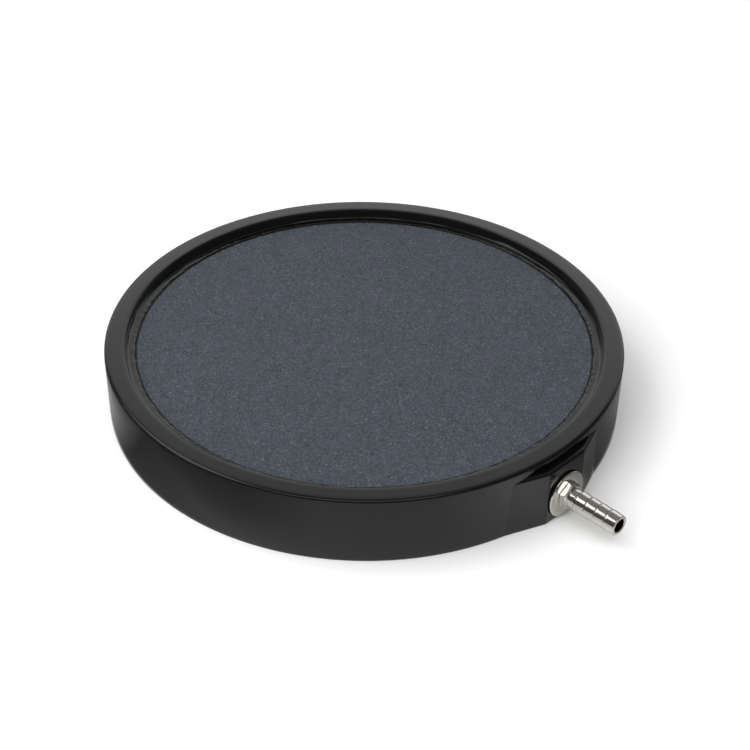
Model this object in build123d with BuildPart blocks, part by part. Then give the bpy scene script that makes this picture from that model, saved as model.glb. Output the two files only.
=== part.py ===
"""Round air stone: a moulded cup, a bonded-grain stone disc set in poured sealant, and a screw-in hose barb.

Origin on the disc's axis at the face it stands on, +Z up, the hose barb pointing along +X. Millimetres.
"""
from build123d import *
from math import cos, pi, radians, sqrt, tan
import os

# Cup, outside
CUP_HEIGHT = 28.0
CUP_R_TOP = 101.5
CUP_R_BASE = 101.2
RIM_ROUND = 1.3
RIM_INNER_R = 93.9
RIM_INNER_ROUND = 0.4
SKIN = 2.3

# Stone and the seat it is bonded into
STONE_R = 91.2
STONE_THICKNESS = 11.0
STONE_TOP_Z = 24.2
STONE_EDGE_CHAMFER = 0.4
SEAT_R = 92.9
SHELF_INNER_R = 89.5

# Poured sealant: it wets the stone's edge and climbs the cup wall
SEALANT_LIP_R = 89.7
SEALANT_LIP_HEIGHT = 0.3
SEALANT_WALL_Z = 25.5
SEALANT_SAG = 0.3

# Air chamber under the stone, and the underside
FLOOR_BOTTOM_Z = 1.5
FLOOR_TOP_Z = 4.0
PEG_R = 4.0
PEG_CIRCLE_R = 50.0
PEG_COUNT = 6
CENTRE_PAD_R = 12.0
FLOOR_RIB_COUNT = 8
WALL_RIB_COUNT = 24
RIB_THICKNESS = 1.6
WALL_RIB_FOOT_Z = 2.0

# Boss that carries the hose barb
BOSS_FACE_X = 104.2
BOSS_HALF_WIDTH = 9.5
BOSS_HEIGHT = 24.0
BOSS_FLANK_ANGLE = 21.5
BOSS_CORNER_ROUND = 1.5
BOSS_TOP_ROUND = 1.2
BOSS_BACK_X = 92.0
BLOCK_HALF_WIDTH = 9.0
BLOCK_TOP_Z = 18.0

# Hose barb and what seals it, all on one axis along +X
AXIS_Z = 9.6
THREAD_R = 4.0
THREAD_PITCH = 1.0
THREAD_CLEARANCE = 0.06
INSERT_LENGTH = 8.5
INSERT_ACROSS_FLATS = 12.0
INSERT_GAP = 0.02
AIR_WAY_R = 2.75
PORT_R = 3.0
GASKET_R = 8.9
GASKET_HOLE_R = 4.2
GASKET_THICKNESS = 0.5
WASHER_R = 9.2
WASHER_HOLE_R = 4.15
WASHER_THICKNESS = 0.7
EDGE_ROUND = 0.15
HEX_ACROSS_FLATS = 9.5
HEX_THICKNESS = 2.8
NECK_R = 3.75
NECK_LENGTH = 2.9
BARB_COUNT = 4
BARB_PITCH = 4.6
BARB_PEAK_R = 4.15
BARB_ROOT_R = 3.9
TIP_ROUND = 0.3

# Worked out from the sizes above
STONE_BOTTOM_Z = STONE_TOP_Z - STONE_THICKNESS
SKIRT_INNER_R = CUP_R_BASE - SKIN
SEAT_OUTER_R = SEAT_R + SKIN
INSERT_FACE_X = BOSS_FACE_X - 0.1
INSERT_BACK_X = INSERT_FACE_X - INSERT_LENGTH
GASKET_FACE_X = BOSS_FACE_X + GASKET_THICKNESS
WASHER_FACE_X = GASKET_FACE_X + WASHER_THICKNESS
HEX_FACE_X = WASHER_FACE_X + HEX_THICKNESS
SHANK_END_X = INSERT_BACK_X + 0.4
SHANK_R = THREAD_R - THREAD_CLEARANCE
BARB_START_X = HEX_FACE_X + NECK_LENGTH
TIP_X = BARB_START_X + BARB_COUNT * BARB_PITCH

AXIS_LINE = Axis((0, 0, AXIS_Z), (1, 0, 0))


def plane_across(x):
    """Plane square to the barb's axis at x, facing +X, with its local Y up."""
    return Plane(origin=(x, 0, AXIS_Z), x_dir=(0, 1, 0), z_dir=(1, 0, 0))


# The core that hollows the wall from below, less the ribs and the block left around the insert
with BuildPart() as wall_core:
    with BuildSketch(Plane.XY):
        Circle(SKIRT_INNER_R)
        Circle(SEAT_OUTER_R, mode=Mode.SUBTRACT)
    extrude(amount=CUP_HEIGHT - SKIN)
    with BuildSketch(Plane.XY.offset(WALL_RIB_FOOT_Z)):
        with PolarLocations(SKIRT_INNER_R, WALL_RIB_COUNT, start_angle=180 / WALL_RIB_COUNT):
            Rectangle(4 * SKIN, RIB_THICKNESS)
    extrude(amount=CUP_HEIGHT, mode=Mode.SUBTRACT)
    with BuildSketch(Plane.XY):
        with Locations((SEAT_R, 0)):
            Rectangle(2 * BLOCK_HALF_WIDTH, 2 * BLOCK_HALF_WIDTH)
    extrude(amount=BLOCK_TOP_Z, mode=Mode.SUBTRACT)

# The shallow recess under the floor, less the centre pad and the radial ribs
with BuildPart() as floor_core:
    with BuildSketch(Plane.XY):
        Circle(SHELF_INNER_R)
        Circle(CENTRE_PAD_R, mode=Mode.SUBTRACT)
        with PolarLocations(SHELF_INNER_R / 2, FLOOR_RIB_COUNT):
            Rectangle(SHELF_INNER_R, RIB_THICKNESS, mode=Mode.SUBTRACT)
    extrude(amount=FLOOR_BOTTOM_Z)

with BuildPart() as housing:
    # Outer body: a turned puck with a rounded rim edge
    with BuildSketch(Plane.XZ):
        with BuildLine():
            rim_lean = (CUP_R_TOP - CUP_R_BASE) / CUP_HEIGHT
            rim_side = (CUP_R_TOP - rim_lean * RIM_ROUND, CUP_HEIGHT - RIM_ROUND)
            Polyline((CUP_R_TOP - RIM_ROUND, CUP_HEIGHT), (0, CUP_HEIGHT), (0, 0), (CUP_R_BASE, 0), rim_side)
            arc_middle = RIM_ROUND * (1 - sqrt(0.5))
            ThreePointArc(
                rim_side,
                (CUP_R_TOP - arc_middle, CUP_HEIGHT - arc_middle),
                (CUP_R_TOP - RIM_ROUND, CUP_HEIGHT),
            )
        make_face()
    revolve(axis=Axis.Z)

    # Boss: a flat face with two flanks that run into the round wall
    flank_run = CUP_R_BASE * 0.22
    flank_end = (
        BOSS_FACE_X - flank_run * tan(radians(BOSS_FLANK_ANGLE)),
        BOSS_HALF_WIDTH + flank_run,
    )
    with BuildSketch(Plane.XY) as boss_plan:
        with BuildLine():
            Polyline(
                (BOSS_BACK_X, flank_end[1]),
                flank_end,
                (BOSS_FACE_X, BOSS_HALF_WIDTH),
                (BOSS_FACE_X, -BOSS_HALF_WIDTH),
                (flank_end[0], -flank_end[1]),
                (BOSS_BACK_X, -flank_end[1]),
                close=True,
            )
        make_face()
        fillet(boss_plan.vertices().sort_by(Axis.X)[-2:], radius=BOSS_CORNER_ROUND)
    extrude(amount=BOSS_HEIGHT)
    boss_front = housing.faces().sort_by(Axis.X)[-1]
    fillet(boss_front.edges().sort_by(Axis.Z)[-1:], radius=BOSS_TOP_ROUND)

    add(wall_core.part, mode=Mode.SUBTRACT)
    add(floor_core.part, mode=Mode.SUBTRACT)

    # Stone seat and air chamber; above the sealant the wall leans out to the rim
    with BuildSketch(Plane.XZ):
        with BuildLine():
            Polyline(
                (0, FLOOR_TOP_Z),
                (SHELF_INNER_R, FLOOR_TOP_Z),
                (SHELF_INNER_R, STONE_BOTTOM_Z),
                (SEAT_R, STONE_BOTTOM_Z),
                (SEAT_R, SEALANT_WALL_Z),
                (RIM_INNER_R, CUP_HEIGHT),
                (0, CUP_HEIGHT),
                close=True,
            )
        make_face()
    revolve(axis=Axis.Z, mode=Mode.SUBTRACT)
    rim_top = housing.faces().sort_by(Axis.Z)[-1]
    fillet(rim_top.edges().group_by(SortBy.LENGTH)[0], radius=RIM_INNER_ROUND)

    # Pegs that hold the stone off the floor
    with BuildSketch(Plane.XY.offset(FLOOR_BOTTOM_Z)):
        Circle(PEG_R)
        with PolarLocations(PEG_CIRCLE_R, PEG_COUNT, start_angle=180 / PEG_COUNT):
            Circle(PEG_R)
    extrude(amount=STONE_BOTTOM_Z - FLOOR_BOTTOM_Z)

    # Hexagonal pocket for the insert, and the port from it into the air chamber
    with BuildSketch(plane_across(INSERT_BACK_X)):
        RegularPolygon(INSERT_ACROSS_FLATS / 2 + INSERT_GAP, 6, major_radius=False)
    extrude(amount=BOSS_FACE_X - INSERT_BACK_X, mode=Mode.SUBTRACT)
    with BuildSketch(plane_across(SHELF_INNER_R - SKIN)):
        Circle(PORT_R)
    extrude(amount=INSERT_BACK_X - SHELF_INNER_R + SKIN, mode=Mode.SUBTRACT)

with BuildPart() as diffuser_stone:
    with BuildSketch(Plane.XY.offset(STONE_BOTTOM_Z)):
        Circle(STONE_R)
    extrude(amount=STONE_THICKNESS)
    chamfer(diffuser_stone.edges().filter_by(GeomType.CIRCLE), length=STONE_EDGE_CHAMFER)

with BuildPart() as sealant_ring:
    with BuildSketch(Plane.XZ):
        lip_top_z = STONE_TOP_Z + SEALANT_LIP_HEIGHT
        with BuildLine():
            ThreePointArc(
                (SEALANT_LIP_R, lip_top_z),
                ((SEALANT_LIP_R + SEAT_R) / 2, (lip_top_z + SEALANT_WALL_Z) / 2 - SEALANT_SAG),
                (SEAT_R, SEALANT_WALL_Z),
            )
            Polyline(
                (SEAT_R, SEALANT_WALL_Z),
                (SEAT_R, STONE_BOTTOM_Z),
                (STONE_R, STONE_BOTTOM_Z),
                (STONE_R, STONE_TOP_Z - STONE_EDGE_CHAMFER),
                (STONE_R - STONE_EDGE_CHAMFER, STONE_TOP_Z),
                (SEALANT_LIP_R, STONE_TOP_Z),
                (SEALANT_LIP_R, lip_top_z),
            )
        make_face()
    revolve(axis=Axis.Z)

with BuildPart() as threaded_insert:
    with BuildSketch(plane_across(INSERT_BACK_X)):
        RegularPolygon(INSERT_ACROSS_FLATS / 2, 6, major_radius=False)
        Circle(THREAD_R, mode=Mode.SUBTRACT)
    extrude(amount=INSERT_LENGTH)

with BuildPart() as gasket:
    with BuildSketch(plane_across(BOSS_FACE_X)):
        Circle(GASKET_R)
        Circle(GASKET_HOLE_R, mode=Mode.SUBTRACT)
    extrude(amount=GASKET_THICKNESS)
    fillet(gasket.edges().filter_by(GeomType.CIRCLE).group_by(SortBy.RADIUS)[-1], radius=EDGE_ROUND)

with BuildPart() as flat_washer:
    with BuildSketch(plane_across(GASKET_FACE_X)):
        Circle(WASHER_R)
        Circle(WASHER_HOLE_R, mode=Mode.SUBTRACT)
    extrude(amount=WASHER_THICKNESS)
    fillet(flat_washer.edges().filter_by(GeomType.CIRCLE).group_by(SortBy.RADIUS)[-1], radius=EDGE_ROUND)

with BuildPart() as hose_barb:
    # Hexagon with its outer corners turned off at 30 degrees
    with BuildSketch(plane_across(WASHER_FACE_X)):
        RegularPolygon(HEX_ACROSS_FLATS / 2, 6, major_radius=False, rotation=30)
    extrude(amount=HEX_THICKNESS)
    hex_corner_r = HEX_ACROSS_FLATS / 2 / cos(pi / 6)
    corner_height = (hex_corner_r - HEX_ACROSS_FLATS / 2) * tan(radians(30))
    with BuildSketch(Plane.XZ):
        with BuildLine():
            Polyline(
                (HEX_FACE_X, AXIS_Z + HEX_ACROSS_FLATS / 2),
                (HEX_FACE_X, AXIS_Z + 2 * hex_corner_r),
                (HEX_FACE_X - corner_height, AXIS_Z + 2 * hex_corner_r),
                (HEX_FACE_X - corner_height, AXIS_Z + hex_corner_r),
                close=True,
            )
        make_face()
    revolve(axis=AXIS_LINE, mode=Mode.SUBTRACT)

    # Turned shank, neck and barbs in one profile, from the inner end to the tip
    with BuildSketch(Plane.XZ):
        with BuildLine():
            outline = [
                (SHANK_END_X, AXIS_Z),
                (SHANK_END_X, AXIS_Z + SHANK_R - 0.5),
                (SHANK_END_X + 0.5, AXIS_Z + SHANK_R),
                (WASHER_FACE_X + 0.1, AXIS_Z + SHANK_R),
                (WASHER_FACE_X + 0.1, AXIS_Z + NECK_R),
                (BARB_START_X, AXIS_Z + NECK_R),
            ]
            for number in range(BARB_COUNT):
                barb_x = BARB_START_X + number * BARB_PITCH
                outline.append((barb_x, AXIS_Z + BARB_PEAK_R))
                outline.append((barb_x + BARB_PITCH, AXIS_Z + BARB_ROOT_R))
            outline[-1] = (TIP_X - TIP_ROUND, AXIS_Z + BARB_ROOT_R)
            outline.append((TIP_X, AXIS_Z + BARB_ROOT_R - TIP_ROUND))
            outline.append((TIP_X, AXIS_Z))
            Polyline(*outline, close=True)
        make_face()
    revolve(axis=AXIS_LINE)
    with BuildSketch(plane_across(SHANK_END_X)):
        Circle(AIR_WAY_R)
    extrude(amount=TIP_X - SHANK_END_X, mode=Mode.SUBTRACT)

pieces = {
    "housing": housing,
    "diffuser_stone": diffuser_stone,
    "sealant_ring": sealant_ring,
    "threaded_insert": threaded_insert,
    "gasket": gasket,
    "flat_washer": flat_washer,
    "hose_barb": hose_barb,
}
os.makedirs("parts", exist_ok=True)
for name, piece in pieces.items():
    piece.part.label = name
    export_step(piece.part, f"parts/{name}.step")
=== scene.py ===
"""Looks of the round air stone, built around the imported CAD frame. Metres, +Z up, the hose barb along +X."""
from math import cos, pi, radians, sin

import bpy
import numpy as np
from mathutils import Matrix, Vector
from mathutils.geometry import delaunay_2d_cdt


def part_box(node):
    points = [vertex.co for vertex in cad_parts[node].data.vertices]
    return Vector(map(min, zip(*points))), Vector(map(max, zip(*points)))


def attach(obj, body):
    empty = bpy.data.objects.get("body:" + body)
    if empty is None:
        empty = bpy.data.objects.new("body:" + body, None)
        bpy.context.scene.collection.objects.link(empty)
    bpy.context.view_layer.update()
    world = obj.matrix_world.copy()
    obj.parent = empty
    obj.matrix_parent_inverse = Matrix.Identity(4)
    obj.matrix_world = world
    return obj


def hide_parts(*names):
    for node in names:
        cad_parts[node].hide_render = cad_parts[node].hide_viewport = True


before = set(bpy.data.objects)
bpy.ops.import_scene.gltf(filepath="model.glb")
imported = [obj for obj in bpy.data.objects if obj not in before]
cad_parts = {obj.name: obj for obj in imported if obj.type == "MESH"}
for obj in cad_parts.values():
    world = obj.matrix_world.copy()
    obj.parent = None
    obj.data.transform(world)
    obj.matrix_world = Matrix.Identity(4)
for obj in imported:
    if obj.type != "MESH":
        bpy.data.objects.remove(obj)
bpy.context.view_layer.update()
MM = 0.001

# Where the camera stands, in degrees, metres and millimetres of lens
CAMERA_AZIMUTH = 44.7
CAMERA_ELEVATION = 36.46
CAMERA_DISTANCE = 0.676
CAMERA_ROLL = 0.92
CAMERA_LENS = 79.6
AIM_RIGHT = 4.34 * MM
AIM_FORWARD = 9.85 * MM

# Places read from the frame
stone_low, stone_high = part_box("diffuser_stone")
insert_low, insert_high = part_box("threaded_insert")
gasket_low, gasket_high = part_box("gasket")
washer_low, washer_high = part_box("flat_washer")
barb_low, barb_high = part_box("hose_barb")
AXIS_Z = (barb_low[2] + barb_high[2]) / 2
STONE_R = stone_high[0]
STONE_TOP = stone_high[2]
STONE_BOTTOM = stone_low[2]
RIM_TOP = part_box("housing")[1][2]
BOSS_FACE_X = gasket_low[0]
WALL_CONTACT_R, _, WALL_CONTACT_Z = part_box("sealant_ring")[1]

# The cup's sizes, as in the CAD
CUP_R_BASE = 101.2 * MM
CUP_R_TOP = 101.5 * MM
RIM_INNER_R = 93.9 * MM
SEAT_R = 92.9 * MM
SKIN = 2.3 * MM
CHAMBER_R = 89.5 * MM
FLOOR_TOP = 4.0 * MM
FLOOR_BOTTOM = 1.5 * MM
CENTRE_PAD_R = 12 * MM
SLOT_INNER_R = 95.2 * MM
SLOT_OUTER_R = 98.9 * MM
BOSS_HALF_WIDTH = 9.5 * MM
BOSS_TOP = 24 * MM
BOSS_LEAN = radians(21.5)

# Everything that stands in the cup's hollows
RIB_THICKNESS = 1.6 * MM
FLOOR_RIB_COUNT = 8
WALL_RIB_COUNT = 24
WALL_RIB_FOOT = 2 * MM
WALL_RIB_TOP = 26 * MM
PEG_R = 4 * MM
PEG_COUNT = 6
PEG_CIRCLE_R = 50 * MM
BLOCK_HALF_WIDTH = 9 * MM
BLOCK_TOP = 18 * MM
BLOCK_BACK_X = 94.6 * MM
IN_OUTER_WALL = 99.4 * MM

# How far the shells run into the cup, how far they stay off the table, and the play round the insert
OVERLAP = 0.1 * MM
TOUCH = 0.02 * MM
OFF_TABLE = 0.01 * MM
INSERT_PLAY = 0.02 * MM

# Where the sealant laps onto the stone, and how far below its top the stone's grains start
LIP_R = 89.7 * MM
GRAIN_DEPTH = 0.12 * MM


# ---------------------------------------------------------------- mesh helpers

def mesh_object(name, vertices, faces, sharp_angle=35):
    """An object of smooth faces that stay crisp where they meet at more than sharp_angle degrees."""
    mesh = bpy.data.meshes.new(name)
    mesh.from_pydata([tuple(v) for v in vertices], [], faces)
    mesh.validate()
    mesh.shade_smooth()
    mesh.set_sharp_from_angle(angle=radians(sharp_angle))
    piece = bpy.data.objects.new(name, mesh)
    bpy.context.collection.objects.link(piece)
    return piece


def ring_faces(rings, around, closed_profile):
    """Quads between rings of points; the profile closes on itself if closed_profile is true."""
    faces = []
    pairs = rings if closed_profile else rings - 1
    for ring in range(pairs):
        low, high = ring * around, (ring + 1) % rings * around
        for step in range(around):
            after = (step + 1) % around
            faces.append((low + step, low + after, high + after, high + step))
    return faces


def rounded(corners, steps=5):
    """A closed outline from (a, b, radius) corners, each corner turned into an arc of its radius."""
    points = []
    for index, (a, b, radius) in enumerate(corners):
        corner = np.array((a, b))
        if radius == 0:
            points.append(corner)
            continue
        before = np.array(corners[index - 1][:2]) - corner
        after = np.array(corners[(index + 1) % len(corners)][:2]) - corner
        before /= np.linalg.norm(before)
        after /= np.linalg.norm(after)
        half = np.arccos(np.clip(before @ after, -1, 1)) / 2
        centre = corner + (before + after) / np.linalg.norm(before + after) * radius / np.sin(half)
        start = corner + before * radius / np.tan(half) - centre
        end = corner + after * radius / np.tan(half) - centre
        sweep = np.arctan2(start[0] * end[1] - start[1] * end[0], start @ end)
        for share in np.linspace(0, 1, steps + 1):
            turn = sweep * share
            spin = np.array(((cos(turn), -sin(turn)), (sin(turn), cos(turn))))
            points.append(centre + spin @ start)
    return points


def lathe_x(name, outline, around, sharp_angle=35):
    """Turns a closed outline of (x, radius) points about the fitting's axis."""
    angles = np.linspace(0, 2 * pi, around, endpoint=False)
    vertices = []
    for x, radius in outline:
        for angle in angles:
            vertices.append((x, radius * sin(angle), AXIS_Z + radius * cos(angle)))
    return mesh_object(name, vertices, ring_faces(len(outline), around, True), sharp_angle)


def face_outward(piece):
    """Turns the faces so that their normals point out of the closed mesh."""
    mesh = piece.data
    mesh.calc_loop_triangles()
    volume = 0.0
    for triangle in mesh.loop_triangles:
        a, b, c = (mesh.vertices[i].co for i in triangle.vertices)
        volume += a.dot(b.cross(c))
    if volume < 0:
        mesh.flip_normals()
    return piece


def smooth_noise(points, size, seed):
    """Smooth random values near -1 to 1 at points, changing over about size, from a sum of tilted waves."""
    rng = np.random.default_rng(seed)
    total = np.zeros(len(points))
    waves = 14
    for _ in range(waves):
        direction = rng.normal(size=points.shape[1])
        direction *= 2 * pi / (size * rng.uniform(0.6, 1.6)) / np.linalg.norm(direction)
        total += np.sin(points @ direction + rng.uniform(0, 2 * pi))
    return total / np.sqrt(waves)


# ------------------------------------------------------------ material helpers

class Look:
    """A Principled material under construction; sizes of patterns are in metres on the piece."""

    def __init__(self, name, **constants):
        self.material = bpy.data.materials.new(name)
        self.material.use_nodes = True
        self.tree = self.material.node_tree
        self.shader = self.tree.nodes["Principled BSDF"]
        for socket, value in constants.items():
            self.shader.inputs[socket.replace("_", " ")].default_value = value
        self.place = self.tree.nodes.new("ShaderNodeTexCoord").outputs["Object"]

    def node(self, kind, settings=None, **inputs):
        """A new shader node; inputs are values or the sockets that feed it."""
        made = self.tree.nodes.new("ShaderNode" + kind)
        for key, value in (settings or {}).items():
            setattr(made, key, value)
        for key, value in inputs.items():
            self.feed(made.inputs[key.replace("_", " ")], value)
        return made

    def feed(self, socket, value):
        if isinstance(value, bpy.types.NodeSocket):
            self.tree.links.new(value, socket)
        else:
            socket.default_value = value

    def noise(self, size, detail=2.0, roughness=0.5, place=None):
        return self.node("TexNoise", Vector=place or self.place, Scale=1 / size, Detail=detail,
                         Roughness=roughness).outputs["Fac"]

    def math(self, operation, a, b=0.0, clamp=False):
        made = self.node("Math", {"operation": operation, "use_clamp": clamp})
        self.feed(made.inputs[0], a)
        self.feed(made.inputs[1], b)
        return made.outputs[0]

    def remap(self, value, low, high, to_low, to_high):
        """The value stretched from low..high to to_low..to_high, and held at the ends."""
        made = self.node("MapRange", Value=value)
        made.inputs["From Min"].default_value = low
        made.inputs["From Max"].default_value = high
        made.inputs["To Min"].default_value = to_low
        made.inputs["To Max"].default_value = to_high
        return made.outputs["Result"]

    def ramp(self, value, stops):
        """A colour from (position, colour) stops."""
        made = self.node("ValToRGB", Fac=value)
        elements = made.color_ramp.elements
        while len(elements) < len(stops):
            elements.new(0.5)
        for element, (position, colour) in zip(elements, stops):
            element.position = position
            element.color = (*colour, 1)
        return made.outputs["Color"]

    def mix(self, share, a, b, blend="MIX"):
        """Colour a blended with colour b by a share from 0 to 1."""
        made = self.node("Mix", {"data_type": "RGBA", "blend_type": blend})
        self.feed(made.inputs[0], share)
        self.feed(made.inputs[6], a)
        self.feed(made.inputs[7], b)
        return made.outputs[2]

    def bump(self, height, distance, under=None):
        """A normal bent by a height that is distance high, on top of the normal under it."""
        made = self.node("Bump", Height=height, Distance=distance, Strength=1.0)
        if under is not None:
            self.tree.links.new(under, made.inputs["Normal"])
        return made.outputs["Normal"]

    def set(self, socket, value):
        self.feed(self.shader.inputs[socket], value)
        return self


def dress(piece, look):
    """Gives every material slot of the piece this look."""
    slots = piece.data.materials
    slots.clear()
    slots.append(look.material)


# ------------------------------------------------------------------- materials

def cup_plastic():
    """Black moulded plastic: half glossy, a little scuffed, faintly rippled."""
    look = Look("cup_plastic", IOR=1.5)
    cloud = look.noise(30 * MM, 3)
    grain = look.noise(0.45 * MM, 3)
    scuff = look.noise(4 * MM, 5, 0.7)
    look.set("Base Color", look.ramp(cloud, [
        (0.3, (0.0014, 0.0016, 0.0014)),
        (0.7, (0.0024, 0.0026, 0.0023)),
    ]))
    shine = look.math("ADD", look.remap(grain, 0.3, 0.7, 0.13, 0.18), look.remap(scuff, 0.55, 0.8, 0.0, 0.07))
    look.set("Roughness", shine)
    ripple = look.bump(look.noise(11 * MM, 1), 0.02 * MM)
    look.set("Normal", look.bump(grain, 0.003 * MM, under=ripple))
    return look


def poured_sealant():
    """Black resin that set with a wet shine."""
    look = Look("poured_sealant", IOR=1.5, Base_Color=(0.0015, 0.0015, 0.0015, 1))
    look.set("Roughness", look.remap(look.noise(3 * MM, 3), 0.3, 0.7, 0.06, 0.12))
    look.set("Normal", look.bump(look.noise(2.5 * MM, 2), 0.02 * MM))
    return look


def bonded_stone():
    """Half-millimetre grains fused together, each its own grey, with painted shade in the gaps between them,
    clouds of tint, and a band of painted shade beside the sealant's lip.
    """
    look = Look("bonded_stone", IOR=1.5)
    grain_size = 0.5 * MM
    # How far inside the lip the painted shade reaches, and over what width it fades in
    lip_shade_reach = 0.85 * MM
    lip_shade_fade = 0.4 * MM
    cells = look.node("TexVoronoi", {"feature": "F1"}, Vector=look.place, Scale=1 / grain_size)
    edges = look.node("TexVoronoi", {"feature": "DISTANCE_TO_EDGE"}, Vector=look.place,
                      Scale=1 / grain_size)
    shade = look.node("SeparateColor", Color=cells.outputs["Color"])
    grain = look.ramp(shade.outputs[0], [
        (0.0, (0.032, 0.038, 0.046)),
        (0.5, (0.048, 0.058, 0.070)),
        (0.93, (0.066, 0.077, 0.093)),
        (1.0, (0.115, 0.131, 0.156)),
    ])
    cloud = look.noise(12 * MM, 3)
    speck = look.noise(2.6 * MM, 2)
    tint = look.ramp(cloud, [(0.35, (0.92, 1.01, 0.97)), (0.65, (1.09, 0.99, 1.09))])
    patch = look.ramp(speck, [(0.35, (0.90, 0.91, 0.91)), (0.65, (1.07, 1.06, 1.07))])
    # Painted shade: the gaps between grains are darkened down to half their colour
    gap = look.remap(edges.outputs["Distance"], 0.0, 0.16, 0.5, 1.0)
    colour = look.mix(1.0, look.mix(1.0, grain, tint, "MULTIPLY"), patch, "MULTIPLY")
    shadow = look.node("CombineColor", Red=gap, Green=gap, Blue=gap).outputs[0]
    colour = look.mix(1.0, colour, shadow, "MULTIPLY")
    # Painted shade: the grains in a ragged band just inside the sealant's lip are darkened almost to black,
    # standing in for the shade of the lip's steep inner side
    flat = look.node("VectorMath", {"operation": "MULTIPLY"}, Vector=look.place)
    flat.inputs[1].default_value = (1, 1, 0)
    reach = look.node("VectorMath", {"operation": "LENGTH"}, Vector=flat.outputs[0]).outputs["Value"]
    ragged = look.math("MULTIPLY", look.math("SUBTRACT", look.noise(1.6 * MM, 2), 0.5), 0.9 * MM)
    fade_start = LIP_R - lip_shade_reach
    lip_shade = look.remap(look.math("ADD", reach, ragged), fade_start, fade_start + lip_shade_fade, 0.0, 1.0)
    look.set("Base Color", look.mix(lip_shade, colour, (0.004, 0.004, 0.005, 1)))
    look.set("Roughness", look.remap(shade.outputs[1], 0, 1, 0.7, 1.0))
    round_grain = look.bump(look.math("SUBTRACT", 1.0, cells.outputs["Distance"]), 0.12 * MM)
    look.set("Normal", look.bump(look.noise(0.16 * MM, 2), 0.03 * MM, under=round_grain))
    return look


def nickel_plate(name, turned):
    """Bright plating, with fine lathe lines round the fitting's axis when it is turned."""
    look = Look(name, Metallic=1.0)
    stain = look.noise(2.5 * MM, 4, 0.6)
    look.set("Base Color", look.ramp(stain, [(0.3, (0.61, 0.59, 0.54)), (0.7, (0.70, 0.68, 0.63))]))
    if turned:
        look.set("Roughness", look.remap(stain, 0.3, 0.7, 0.07, 0.13))
        stretch = look.node("Mapping", Vector=look.place, Scale=(1.0, 0.04, 0.04)).outputs[0]
        lines = look.noise(0.12 * MM, 2, place=stretch)
        look.set("Normal", look.bump(lines, 0.004 * MM))
    else:
        look.set("Roughness", look.remap(stain, 0.3, 0.7, 0.03, 0.06))
        look.set("Normal", look.bump(look.noise(1.5 * MM, 2), 0.004 * MM))
    return look


def turned_brass():
    """Bare machined brass."""
    look = Look("turned_brass", Metallic=1.0)
    stain = look.noise(3 * MM, 4)
    look.set("Base Color", look.ramp(stain, [(0.3, (0.50, 0.34, 0.12)), (0.7, (0.66, 0.48, 0.20))]))
    look.set("Roughness", look.remap(stain, 0.3, 0.7, 0.22, 0.36))
    return look


def gasket_rubber():
    """Matt black rubber."""
    look = Look("gasket_rubber", Base_Color=(0.010, 0.010, 0.010, 1), IOR=1.45)
    look.set("Roughness", look.remap(look.noise(0.6 * MM, 3), 0.3, 0.7, 0.55, 0.75))
    look.set("Normal", look.bump(look.noise(0.3 * MM, 3), 0.02 * MM))
    return look


# ---------------------------------------------------------------------- pieces

def prism_x(x_low, x_high, sides, apothem):
    """A closed prism about the fitting's axis with a flat on top; returns its vertices and faces."""
    corner = apothem / cos(pi / sides)
    vertices = []
    for x in (x_low, x_high):
        for side in range(sides):
            angle = (side + 0.5) * 2 * pi / sides
            vertices.append((x, corner * sin(angle), AXIS_Z + corner * cos(angle)))
    faces = ring_faces(2, sides, False)
    faces += [tuple(range(sides - 1, -1, -1)), tuple(range(sides, 2 * sides))]
    return vertices, faces


def post(x, y, radius, z_low, z_high, sides=40):
    """A closed upright cylinder; returns its vertices and faces."""
    vertices = []
    for z in (z_low, z_high):
        for side in range(sides):
            angle = side * 2 * pi / sides
            vertices.append((x + radius * cos(angle), y + radius * sin(angle), z))
    faces = ring_faces(2, sides, False)
    faces += [tuple(range(sides - 1, -1, -1)), tuple(range(sides, 2 * sides))]
    return vertices, faces


def radial_rib(turn, r_low, r_high, z_low, z_high):
    """A closed upright plate that runs out along the direction turn; returns its vertices and faces."""
    vertices = []
    for z in (z_low, z_high):
        for r, side in ((r_low, -0.5), (r_high, -0.5), (r_high, 0.5), (r_low, 0.5)):
            across = side * RIB_THICKNESS
            vertices.append((r * cos(turn) - across * sin(turn), r * sin(turn) + across * cos(turn), z))
    return vertices, ring_faces(2, 4, False) + [(3, 2, 1, 0), (4, 5, 6, 7)]


def pocket_apothem():
    """Half the width across flats of the hexagonal pocket that holds the insert."""
    return (insert_high[2] - insert_low[2]) / 2 + INSERT_PLAY


def insert_block():
    """The plastic left round the insert inside the slot: a plate with a hexagonal hole.

    Returns its vertices and faces.
    """
    sides = (-BLOCK_HALF_WIDTH, BLOCK_HALF_WIDTH)
    corners = [np.arctan2(y, z - AXIS_Z) for y in sides for z in (OFF_TABLE, BLOCK_TOP)]
    angles = np.unique(np.concatenate((np.arange(24) * 2 * pi / 24 - pi, corners)))
    folded = (angles + pi / 6) % (pi / 3) - pi / 6
    hexagon = pocket_apothem() / np.cos(folded)
    across, rise = np.abs(np.sin(angles)), np.cos(angles)
    height = np.where(rise > 0, BLOCK_TOP - AXIS_Z, AXIS_Z - OFF_TABLE)
    never_zero = 1e-9
    to_side = BLOCK_HALF_WIDTH / np.maximum(across, never_zero)
    to_top = height / np.maximum(np.abs(rise), never_zero)
    outline = np.minimum(to_side, to_top)
    vertices = []
    for x, radius in (
        (BLOCK_BACK_X, hexagon),
        (BLOCK_BACK_X, outline),
        (IN_OUTER_WALL, outline),
        (IN_OUTER_WALL, hexagon),
    ):
        y = radius * np.sin(angles)
        z = AXIS_Z + radius * np.cos(angles)
        vertices.extend(zip(np.full(len(angles), x), y, z))
    return vertices, ring_faces(4, len(angles), True)


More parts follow.
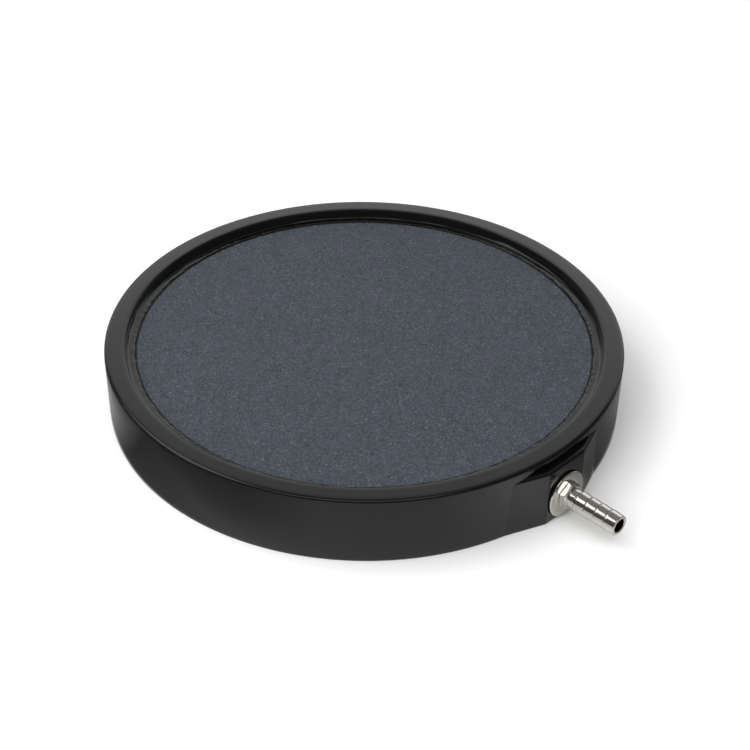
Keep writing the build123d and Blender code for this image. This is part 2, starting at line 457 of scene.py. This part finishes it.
def cut(piece, *shells):
    """Cuts closed shells out of the piece."""
    cutters = []
    for vertices, faces in shells:
        cutter = face_outward(mesh_object("cutter", vertices, faces))
        modifier = piece.modifiers.new("cut", "BOOLEAN")
        modifier.operation = "DIFFERENCE"
        modifier.solver = "EXACT"
        modifier.object = cutter
        cutters.append(cutter)
    depsgraph = bpy.context.evaluated_depsgraph_get()
    piece_mesh = bpy.data.meshes.new_from_object(piece.evaluated_get(depsgraph))
    piece.modifiers.clear()
    piece.data = piece_mesh
    for cutter in cutters:
        bpy.data.objects.remove(cutter)
    return piece


def with_shells(piece, shells):
    """The same piece with more closed shells in its mesh."""
    vertices = [tuple(vertex.co) for vertex in piece.data.vertices]
    faces = [tuple(polygon.vertices) for polygon in piece.data.polygons]
    for shell_vertices, shell_faces in shells:
        shell = face_outward(mesh_object("shell", shell_vertices, shell_faces))
        start = len(vertices)
        vertices.extend(tuple(vertex.co) for vertex in shell.data.vertices)
        faces.extend(tuple(start + i for i in polygon.vertices) for polygon in shell.data.polygons)
        bpy.data.objects.remove(shell)
    name = piece.name
    bpy.data.objects.remove(piece)
    return mesh_object(name, vertices, faces)


def cup_ribs():
    """Everything that stands in the cup's hollows: insert block, pegs, floor ribs and wall ribs."""
    peg_foot = FLOOR_TOP - OVERLAP
    shells = [insert_block(), post(0, 0, PEG_R, peg_foot, STONE_BOTTOM)]
    for number in range(PEG_COUNT):
        turn = pi / 6 + number * 2 * pi / PEG_COUNT
        x, y = PEG_CIRCLE_R * cos(turn), PEG_CIRCLE_R * sin(turn)
        shells.append(post(x, y, PEG_R, peg_foot, STONE_BOTTOM))
    for number in range(FLOOR_RIB_COUNT):
        turn = number * 2 * pi / FLOOR_RIB_COUNT
        r_low, r_high = CENTRE_PAD_R - TOUCH, CHAMBER_R + TOUCH
        shells.append(radial_rib(turn, r_low, r_high, OFF_TABLE, FLOOR_BOTTOM + OVERLAP))
    for number in range(WALL_RIB_COUNT):
        turn = (number + 0.5) * 2 * pi / WALL_RIB_COUNT
        shells.append(radial_rib(turn, SLOT_INNER_R, IN_OUTER_WALL, WALL_RIB_FOOT, WALL_RIB_TOP))
    return shells


def boss_radius(angles):
    """Distance from the disc's axis to the boss outline: a flat face, a flank each side, corners rounded."""
    folded = np.abs((angles + pi) % (2 * pi) - pi)
    near = np.clip(folded, 0, BOSS_LEAN)
    reach = BOSS_FACE_X * cos(BOSS_LEAN) + BOSS_HALF_WIDTH * sin(BOSS_LEAN)
    flat = BOSS_FACE_X / np.cos(near)
    flank = reach / np.cos(near - BOSS_LEAN)
    blend = 0.107 * MM  # leaves a corner of about 1.5 mm radius
    gap = np.clip(0.5 + (flank - flat) / (2 * blend), 0, 1)
    corner = flank * (1 - gap) + flat * gap - blend * gap * (1 - gap)
    return np.where(folded < BOSS_LEAN, corner, 0.0)


def cup_angles():
    """Steps round the cup, closer together where the boss turns its corners and where it meets the wall."""
    steps = [np.linspace(-180, 180, 720, endpoint=False)]
    # Azimuth and half width of each close stretch, in degrees
    corner, wall_meets = (5.21, 0.5), (13.9, 1.0)
    for centre, half_width in (corner, wall_meets):
        close = np.linspace(centre - half_width, centre + half_width, 21)
        steps += [close, -close]
    return radians(1) * np.unique(np.round(np.concatenate(steps), 3))


def make_cup():
    """The cup: one skin turned about the disc's axis with the boss drawn out, then pocket, ribs and pegs."""
    angles = cup_angles()
    around = len(angles)
    rings = []

    def ring(radius, height):
        rings.append((np.broadcast_to(radius, (around,)), np.broadcast_to(height, (around,))))

    def wall(height):
        return CUP_R_BASE + (CUP_R_TOP - CUP_R_BASE) * height / RIM_TOP

    def quarter(steps):
        return [(cos(turn), sin(turn)) for turn in np.linspace(0, pi / 2, steps)]

    # Outside: base edge, then the wall with the boss, the boss's top edge and ledge
    base_round, top_round, rim_round, inner_round = 0.3 * MM, 1.2 * MM, 1.3 * MM, 0.4 * MM
    for across, rise in quarter(4):
        outer = np.maximum(wall(0), boss_radius(angles))
        ring(outer - base_round * (1 - rise), base_round * (1 - across))
    for height in np.linspace(1.5 * MM, BOSS_TOP - top_round - 0.3 * MM, 8):
        ring(np.maximum(wall(height), boss_radius(angles)), height)
    for across, rise in quarter(10):
        height = BOSS_TOP - top_round * (1 - rise)
        ring(np.maximum(wall(height), boss_radius(angles) - top_round * (1 - across)), height)
    off_boss = boss_radius(angles) - top_round < wall(BOSS_TOP)
    ring(np.full(around, wall(BOSS_TOP)), BOSS_TOP + 0.06 * MM * off_boss)

    # Rim: rounded outer edge, flat top, rounded inner edge, leaning inner wall down to the seat
    for height in (BOSS_TOP + 0.5 * MM, BOSS_TOP + 1.5 * MM):
        ring(wall(height), height)
    side = wall(RIM_TOP - rim_round)
    for across, rise in quarter(12):
        ring(side - rim_round * (1 - across), RIM_TOP - rim_round * (1 - rise))
    ring(side - rim_round - 1.5 * MM, RIM_TOP)
    ring(RIM_INNER_R + inner_round + 1.5 * MM, RIM_TOP)
    for across, rise in quarter(7):
        ring(RIM_INNER_R + inner_round * (1 - rise), RIM_TOP - inner_round * (1 - across))
    for share in (0.2, 0.6, 1.0):
        height = RIM_TOP - (RIM_TOP - WALL_CONTACT_Z) * share
        ring(RIM_INNER_R - (RIM_INNER_R - SEAT_R) * share, height)
    ring(SEAT_R, STONE_BOTTOM)

    # Inside: the shelf, the air chamber's wall and its floor, which ends at a small ring that is capped
    ring(CHAMBER_R, STONE_BOTTOM)
    ring(CHAMBER_R, FLOOR_TOP)
    ring(2 * MM, FLOOR_TOP)
    upper_rings = len(rings)

    # Underside: centre pad, recess under the floor, foot ring, the slot that hollows the wall, outer foot
    ring(CENTRE_PAD_R, 0.0)
    ring(CENTRE_PAD_R, FLOOR_BOTTOM)
    ring(CHAMBER_R, FLOOR_BOTTOM)
    ring(CHAMBER_R, 0.0)
    ring(SLOT_INNER_R, 0.0)
    ring(SLOT_INNER_R, RIM_TOP - SKIN)
    ring(SLOT_OUTER_R, RIM_TOP - SKIN)
    ring(SLOT_OUTER_R, 0.0)

    # Quads within the upper and under rings, a cap at each middle, and quads that close the outer foot
    vertices = []
    for radius, height in rings:
        vertices.extend(zip(radius * np.cos(angles), radius * np.sin(angles), height))
    faces = ring_faces(upper_rings, around, False)
    floor_cap = (upper_rings - 1) * around
    faces.append(tuple(range(floor_cap, floor_cap + around)))
    pad_cap = upper_rings * around
    for quad in ring_faces(len(rings) - upper_rings, around, False):
        faces.append(tuple(index + pad_cap for index in quad))
    faces.append(tuple(range(pad_cap + around - 1, pad_cap - 1, -1)))
    foot = (len(rings) - 1) * around
    for step in range(around):
        after = (step + 1) % around
        faces.append((foot + step, foot + after, after, step))
    cup = face_outward(mesh_object("cup_shell", vertices, faces))

    # The hexagonal pocket for the insert and the port behind it are cut out of the skin
    past_face = 2 * MM
    port_r = 3.0 * MM
    pocket = prism_x(insert_low[0], BOSS_FACE_X + past_face, 6, pocket_apothem())
    port = prism_x(CHAMBER_R - SKIN, insert_low[0] + OVERLAP, 48, port_r)
    return with_shells(cut(cup, pocket, port), cup_ribs())


def make_stone_disc():
    """The stone as one closed mesh: a fine rough grid on top, then its turned side and its flat underside."""
    rng = np.random.default_rng(7)
    rings = 168
    edge_r = STONE_R - 0.35 * MM
    side_top = STONE_TOP - 0.5 * MM
    # Rings get points in proportion to their radius, stitched by a Delaunay triangulation
    points = [(0.0, 0.0)]
    for ring in range(1, rings + 1):
        count = 6 * ring
        radius = edge_r * ring / rings
        angles = np.arange(count) * 2 * pi / count + rng.uniform(0, 2 * pi) * (ring < rings)
        jitter = 0.12 * edge_r / rings * (ring < rings)
        for angle in angles:
            x = radius * cos(angle) + rng.normal() * jitter
            y = radius * sin(angle) + rng.normal() * jitter
            points.append((x, y))
    flat = [Vector(p) for p in points]
    corners, _, faces, *_ = delaunay_2d_cdt(flat, [], [], 0, 1e-7)
    xy = np.array([tuple(c) for c in corners])
    radius = np.hypot(xy[:, 0], xy[:, 1])
    # The grains rise and sink about a mean plane, less near the edge, and stay below the CAD's top
    rough = 0.055 * MM * rng.normal(size=len(xy)) + 0.05 * MM * smooth_noise(xy, 1.6 * MM, 3)
    calm = np.clip((edge_r - radius) / (1.0 * MM), 0, 1)
    height = STONE_TOP - GRAIN_DEPTH + np.clip(rough, -0.2 * MM, 0.11 * MM) * calm
    vertices = [(x, y, z) for (x, y), z in zip(xy, height)]
    all_faces = [tuple(f) for f in faces]
    rim = [i for i in np.argsort(np.arctan2(xy[:, 1], xy[:, 0])) if radius[i] > edge_r - 1e-6]
    previous = rim
    for z in (side_top, STONE_BOTTOM):
        ring_start = len(vertices)
        for index in rim:
            scale = STONE_R / radius[index]
            vertices.append((xy[index, 0] * scale, xy[index, 1] * scale, z))
        ring = list(range(ring_start, ring_start + len(rim)))
        for step in range(len(rim)):
            after = (step + 1) % len(rim)
            all_faces.append((previous[step], ring[step], ring[after], previous[after]))
        previous = ring
    all_faces.append(tuple(previous[::-1]))
    piece = mesh_object("stone_disc", vertices, all_faces, 60)
    return face_outward(piece)


def make_sealant():
    """The poured ring: a rounded ragged lip on the stone, a nearly level band, a climb up the cup's wall."""
    around = 2400
    angles = np.arange(around) * 2 * pi / around
    circle = np.column_stack((np.cos(angles), np.sin(angles))) * LIP_R
    ragged = 0.07 * MM * smooth_noise(circle, 2.2 * MM, 11) + 0.18 * MM * smooth_noise(circle, 7 * MM, 12)
    lip_rise = 0.30 * MM
    lip_swell = 0.035 * MM * smooth_noise(circle, 3.5 * MM, 15)
    band_rise = 0.12 * MM + 0.06 * MM * smooth_noise(circle, 24 * MM, 13)
    contact = WALL_CONTACT_Z - 0.08 * MM + 0.05 * MM * smooth_noise(circle, 15 * MM, 14)
    contact = np.minimum(contact, WALL_CONTACT_Z)
    start_z = STONE_TOP - GRAIN_DEPTH
    lip_r = LIP_R + ragged
    lip_width = 0.42 * MM
    climb_width = 0.6 * MM
    band_start_r = lip_r + lip_width
    band_end_r = WALL_CONTACT_R - climb_width
    band_start_z = STONE_TOP + lip_rise
    band_end_z = band_start_z + band_rise
    rings = []
    for turn in np.linspace(0, pi / 2, 7):
        height = start_z + (band_start_z + lip_swell - start_z) * sin(turn)
        rings.append((lip_r + lip_width * (1 - cos(turn)), height))
    for share in (0.08, 0.18, 0.3, 0.45, 0.6, 0.8, 1.0):
        height = band_start_z + (band_end_z - band_start_z) * share + lip_swell * (1 - share) ** 6
        rings.append((band_start_r + (band_end_r - band_start_r) * share, height))
    for share in (0.2, 0.38, 0.54, 0.68, 0.8, 0.9, 0.97, 1.0):
        height = band_end_z + (contact - band_end_z) * share ** 1.25
        rings.append((band_end_r + climb_width * share, height))
    # The hidden back: down inside the wall, then along the stone's side and back up under the lip
    for radius, depth in (
        (WALL_CONTACT_R - 0.08 * MM, 1.5 * MM),
        (STONE_R, 1.5 * MM),
        (STONE_R, 0.6 * MM),
        (LIP_R + 0.5 * MM, 0.4 * MM),
    ):
        rings.append((radius, np.full(around, STONE_TOP - depth)))
    vertices = []
    for radius, height in rings:
        vertices.extend(zip(radius * np.cos(angles), radius * np.sin(angles), height))
    piece = mesh_object("sealant_pour", vertices, ring_faces(len(rings), around, True), 60)
    return face_outward(piece)


def flat_ring(name, low, high, inner, rounds):
    """A flat ring on the fitting's axis that fills the box low..high.

    The rounds are its edge radii: hole at the back, hole at the front, rim at the front, rim at the back.
    """
    outer = (high[1] - low[1]) / 2
    corners = ((low[0], inner), (high[0], inner), (high[0], outer), (low[0], outer))
    outline = rounded([(x, radius, edge) for (x, radius), edge in zip(corners, rounds)])
    return face_outward(lathe_x(name, outline, 160))


def make_washer():
    """The washer, its rim softened as stamping leaves it."""
    rounds = (0.1 * MM, 0.15 * MM, 0.45 * MM, 0.12 * MM)
    return flat_ring("washer_plate", washer_low, washer_high, 4.15 * MM, rounds)


def make_gasket():
    """The gasket, its edge bulging a little where the washer squeezes it."""
    rounds = (0.1 * MM, 0.1 * MM, 0.22 * MM, 0.22 * MM)
    return flat_ring("gasket_ring", gasket_low, gasket_high, 4.2 * MM, rounds)


def hex_radius(angle, across_flats):
    """Radius of a hexagon with a corner straight up, at an angle from straight up."""
    folded = (angle + pi / 6) % (pi / 3) - pi / 6
    return across_flats / 2 / np.cos(pi / 6 - np.abs(folded))


def make_fitting():
    """The hose barb in one skin: threaded shank, hexagon, neck, four barbs, tip and the bore through it."""
    around = 192
    angles = np.arange(around) * 2 * pi / around
    shank_end, hex_back, tip = barb_low[0], washer_high[0], barb_high[0]
    flats = barb_high[1] - barb_low[1]
    hex_front = hex_back + 2.8 * MM
    crest, root, pitch = 3.94 * MM, 3.4 * MM, 1.0 * MM
    neck, cove = 3.75 * MM, 0.3 * MM
    barb_start = hex_front + 2.9 * MM
    barb_count = 4
    barb_pitch = (tip - barb_start) / barb_count
    peak, valley = 4.15 * MM, 3.9 * MM
    tip_round = 0.25 * MM
    bore = 2.75 * MM
    rings = []

    def ring(x, radius):
        rings.append((np.full(around, x), np.broadcast_to(radius, (around,))))

    # Thread, from the chamfered inner end to the plain undercut behind the hexagon
    chamfer = 0.5 * MM
    run_out_length = 0.7 * MM
    ring(shank_end, crest - chamfer)
    thread_start, thread_end = shank_end + 0.15 * MM, hex_back - 1.1 * MM
    for x in np.linspace(thread_start, thread_end, 140):
        phase = (x / pitch - angles / (2 * pi)) % 1.0
        tooth = 1 - np.abs(2 * phase - 1)
        depth = np.clip(tooth * 1.25 - 0.1, 0, 1)
        lead_in = crest - chamfer + (x - shank_end)
        run_out = np.clip((x - thread_end + run_out_length) / run_out_length, 0, 1)
        radius = np.minimum(root + (crest - root) * depth, lead_in)
        ring(x, radius + (root - radius) * run_out)
    ring(hex_back - 0.25 * MM, root)
    ring(hex_back, root + 0.2 * MM)

    # Hexagon, with its corners turned off at the front
    hexagon = hex_radius(angles, flats)
    ring(hex_back, hexagon - 0.25 * MM)
    ring(hex_back + 0.22 * MM, hexagon)
    steep = 1.73  # the cone leans 30 degrees from the hexagon's front face
    for x in np.linspace(hex_front - 0.55 * MM, hex_front, 8):
        cone = flats / 2 * 0.97 + (hex_front - x) * steep
        ring(x, np.minimum(hexagon, cone))

    # Neck with a cove, then the barbs, each behind a narrow groove
    ring(hex_front, neck + cove)
    for share in np.linspace(0, 1, 6):
        turn = share * pi / 2
        ring(hex_front + cove * (1 - cos(turn)), neck + cove * (1 - sin(turn)))
    ring(barb_start - 0.6 * MM, neck)
    for number in range(barb_count):
        start = barb_start + number * barb_pitch
        ring(start - 0.14 * MM, valley - 0.28 * MM)
        ring(start + 0.02 * MM, peak - 0.10 * MM)
        ring(start + 0.06 * MM, peak - 0.03 * MM)
        ring(start + 0.14 * MM, peak)
        ring(start + 0.45 * MM, peak)
        ring(start + 0.9 * MM, peak - 0.03 * MM)
        ring(start + barb_pitch - 0.5 * MM, valley + 0.03 * MM)

    # Tip, then the bore back to the shank's end
    for share in np.linspace(0, 1, 6):
        turn = share * pi / 2
        ring(tip - tip_round * (1 - sin(turn)), valley - tip_round * (1 - cos(turn)))
    ring(tip, bore + 0.22 * MM)
    ring(tip - 0.05 * MM, bore + 0.1 * MM)
    ring(tip - 0.2 * MM, bore)
    ring(shank_end + 0.15 * MM, bore)
    ring(shank_end, bore + 0.15 * MM)

    vertices = []
    for x, radius in rings:
        vertices.extend(zip(x, radius * np.sin(angles), AXIS_Z + radius * np.cos(angles)))
    piece = mesh_object("fitting", vertices, ring_faces(len(rings), around, True), 28)
    return face_outward(piece)


# ------------------------------------------------------------------ the studio

def toward(azimuth, elevation):
    """Unit vector from the object towards a place in the studio; azimuth is measured like the camera's."""
    turn, rise = radians(azimuth), radians(elevation)
    return Vector((sin(turn) * cos(rise), -cos(turn) * cos(rise), sin(rise)))


def make_floor():
    """The white table the object stands on."""
    bpy.ops.mesh.primitive_plane_add(size=6)
    floor = bpy.context.object
    floor.name = "studio_floor"
    look = Look("studio_floor", Base_Color=(0.88, 0.88, 0.88, 1), Roughness=0.8, Specular_IOR_Level=0.0)
    dress(floor, look)


def make_table_shade():
    """A flag lying on the table round the cup, which only reflections meet.

    It makes the cup's wall and the fitting mirror a darker table than the one that is seen.
    """
    inner, near_edge, outer = 101.8 * MM, 175 * MM, 600 * MM
    above_table = 0.25 * MM
    around = 180
    vertices = []
    for radius in (inner, near_edge, outer):
        for step in range(around):
            turn = step * 2 * pi / around
            vertices.append((radius * cos(turn), radius * sin(turn), above_table))
    shade = mesh_object("table_shade", vertices, ring_faces(3, around, False))
    look = Look("table_shade", Base_Color=(0.0, 0.0, 0.0, 1), Roughness=1.0, Specular_IOR_Level=0.0)
    turned = look.node("Mapping", Vector=look.place, Rotation=(0, 0, radians(90 - CAMERA_AZIMUTH))).outputs[0]
    azimuth = look.node("TexGradient", {"gradient_type": "RADIAL"}, Vector=turned).outputs["Fac"]
    distance = look.node("VectorMath", {"operation": "LENGTH"}, Vector=look.place).outputs["Value"]

    def by_azimuth(stops):
        """How dark the flag is by direction, from (degrees from the camera's azimuth, darkness) stops."""
        return look.ramp(azimuth, [(turn / 360 + 0.5, (dark,) * 3) for turn, dark in stops])

    def by_distance(stops):
        """How dark the flag is by distance, from (mm from the disc's axis, darkness) stops."""
        share = look.math("DIVIDE", distance, near_edge)
        return look.ramp(share, [(radius * MM / near_edge, (dark,) * 3) for radius, dark in stops])

    # Beside the cup the flag follows near and sides, and farther out it follows far
    near = by_azimuth([
        (-180, 0.2), (-150, 0.4), (-110, 0.8), (-85, 0.95), (-55, 0.95), (-30, 0.8), (-10, 0.5),
        (20, 0.5), (34, 0.3), (40, 0.15), (47, 0.35), (51, 0.5), (55, 0.8), (60, 0.87),
        (100, 0.87), (130, 0.5), (150, 0.3),
    ])
    far = by_azimuth([
        (-180, 0.3), (-160, 0.3), (-140, 0.9), (-50, 0.9), (-30, 0.6), (0, 0.4), (30, 0.6),
        (60, 0.9), (140, 0.9), (160, 0.3),
    ])
    sides = by_azimuth([
        (-180, 0.0), (-110, 0.3), (-81, 0.6), (-64, 0.95), (-45, 0.8), (-25, 0.3), (-10, 0.0), (40, 0.0),
        (50, 0.3), (60, 0.88), (75, 0.85), (90, 0.6), (120, 0.3), (150, 0.0),
    ])
    outward = by_distance([(101.5, 0.1), (104, 0.35), (108, 0.62), (113, 0.8), (120, 0.9), (135, 1.0)])
    beyond = by_distance([(150, 0.0), (174, 1.0)])
    near = look.math("MULTIPLY", near, look.math("MAXIMUM", outward, sides))
    look.set("Alpha", look.mix(beyond, near, far))
    dress(shade, look)
    shade.visible_camera = False
    shade.visible_diffuse = False
    shade.visible_transmission = False
    shade.visible_shadow = False


def make_lamp(name, azimuth, elevation, distance, width, height, radiance, in_reflections=True):
    """A soft box that looks at the object; its power follows from its size and radiance."""
    back = toward(azimuth, elevation)
    light = bpy.data.lights.new(name, "AREA")
    light.shape = "RECTANGLE"
    light.size = width
    light.size_y = height
    light.energy = radiance * pi * width * height
    lamp = bpy.data.objects.new(name, light)
    bpy.context.collection.objects.link(lamp)
    lamp.location = back * distance
    lamp.rotation_mode = "QUATERNION"
    lamp.rotation_quaternion = (-back).to_track_quat("-Z", "Y")
    lamp.visible_glossy = in_reflections
    return lamp


def make_world():
    """A room that is bright behind the object, dim overhead and dark on the camera's side."""
    world = bpy.data.worlds.new("studio")
    world.use_nodes = True
    tree = world.node_tree
    background = tree.nodes["Background"]
    direction = tree.nodes.new("ShaderNodeTexCoord").outputs["Generated"]

    def ramp(value, stops):
        """A grey from (position, grey) stops."""
        made = tree.nodes.new("ShaderNodeValToRGB")
        elements = made.color_ramp.elements
        while len(elements) < len(stops):
            elements.new(0.5)
        for element, (position, grey) in zip(elements, stops):
            element.position = position
            element.color = (grey, grey, grey, 1)
        tree.links.new(value, made.inputs["Fac"])
        return made.outputs["Color"]

    height = tree.nodes.new("ShaderNodeSeparateXYZ")
    tree.links.new(direction, height.inputs[0])
    behind = tree.nodes.new("ShaderNodeVectorMath")
    behind.operation = "DOT_PRODUCT"
    tree.links.new(direction, behind.inputs[0])
    behind.inputs[1].default_value = toward(CAMERA_AZIMUTH + 175, 0)

    # Greys are shares of the brightest; positions run from 0, level or lower, to 1, straight up
    brightest = 1.33
    back_wall = ramp(height.outputs["Z"], [
        (0.0, 0.95 / brightest),
        (0.30, 1.0 / brightest),
        (0.50, 1.0),
        (0.56, 1.0 / brightest),
        (0.60, 0.8 / brightest),
        (0.645, 0.86 / brightest),
        (0.74, 0.48 / brightest),
        (0.84, 0.28 / brightest),
        (1.0, 0.22 / brightest),
    ])
    camera_side = ramp(height.outputs["Z"], [
        (0.0, 0.08 / brightest),
        (0.5, 0.08 / brightest),
        (0.9, 0.22 / brightest),
    ])
    share = ramp(behind.outputs["Value"], [(0.5, 0.0), (0.82, 1.0)])
    mix = tree.nodes.new("ShaderNodeMix")
    mix.data_type = "RGBA"
    tree.links.new(share, mix.inputs[0])
    tree.links.new(camera_side, mix.inputs[6])
    tree.links.new(back_wall, mix.inputs[7])
    tree.links.new(mix.outputs[2], background.inputs["Color"])
    background.inputs["Strength"].default_value = brightest
    bpy.context.scene.world = world


def make_camera():
    """The photograph's camera, rolled slightly and aimed just off the middle of the disc."""
    turn, roll = radians(CAMERA_AZIMUTH), radians(CAMERA_ROLL)
    back = toward(CAMERA_AZIMUTH, CAMERA_ELEVATION)
    right = Vector((cos(turn), sin(turn), 0))
    up = back.cross(right)
    forward = Vector((-sin(turn), cos(turn), 0))
    target = right * AIM_RIGHT + forward * AIM_FORWARD
    rolled_right = right * cos(roll) + up * sin(roll)
    rolled_up = up * cos(roll) - right * sin(roll)
    data = bpy.data.cameras.new("camera")
    data.lens = CAMERA_LENS
    data.sensor_width = 36
    data.clip_start = 0.01
    data.clip_end = 20
    camera = bpy.data.objects.new("camera", data)
    bpy.context.collection.objects.link(camera)
    place = Matrix((rolled_right, rolled_up, back)).transposed().to_4x4()
    place.translation = target + back * CAMERA_DISTANCE
    camera.matrix_world = place
    bpy.context.scene.camera = camera


def add_piece(piece, look, body, node):
    """Puts a piece on its body in place of the CAD node, in its look."""
    dress(piece, look)
    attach(piece, body)
    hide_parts(node)


bpy.context.scene.view_settings.view_transform = "Standard"
make_camera()
make_world()
make_floor()
make_table_shade()
make_lamp("key_lamp", CAMERA_AZIMUTH - 95, 46, 1.6, 1.2, 1.2, 1.6)
make_lamp("key_wash", CAMERA_AZIMUTH - 95, 46, 1.5, 1.2, 1.2, 1.25, in_reflections=False)
make_lamp("strip_lamp", CAMERA_AZIMUTH - 2, 59, 1.6, 1.6, 0.22, 2.7)
make_lamp("overhead_fill", CAMERA_AZIMUTH, 80, 2.0, 3.4, 3.4, 1.15, in_reflections=False)
make_lamp("front_fill", CAMERA_AZIMUTH - 40, 25, 1.6, 1.0, 1.0, 4.8, in_reflections=False)
dress(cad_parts["threaded_insert"], turned_brass())
add_piece(make_cup(), cup_plastic(), "disc", "housing")
add_piece(make_stone_disc(), bonded_stone(), "disc", "diffuser_stone")
add_piece(make_sealant(), poured_sealant(), "disc", "sealant_ring")
add_piece(make_gasket(), gasket_rubber(), "seal_stack", "gasket")
add_piece(make_washer(), nickel_plate("washer_nickel", False), "seal_stack", "flat_washer")
add_piece(make_fitting(), nickel_plate("fitting_nickel", True), "fitting", "hose_barb")
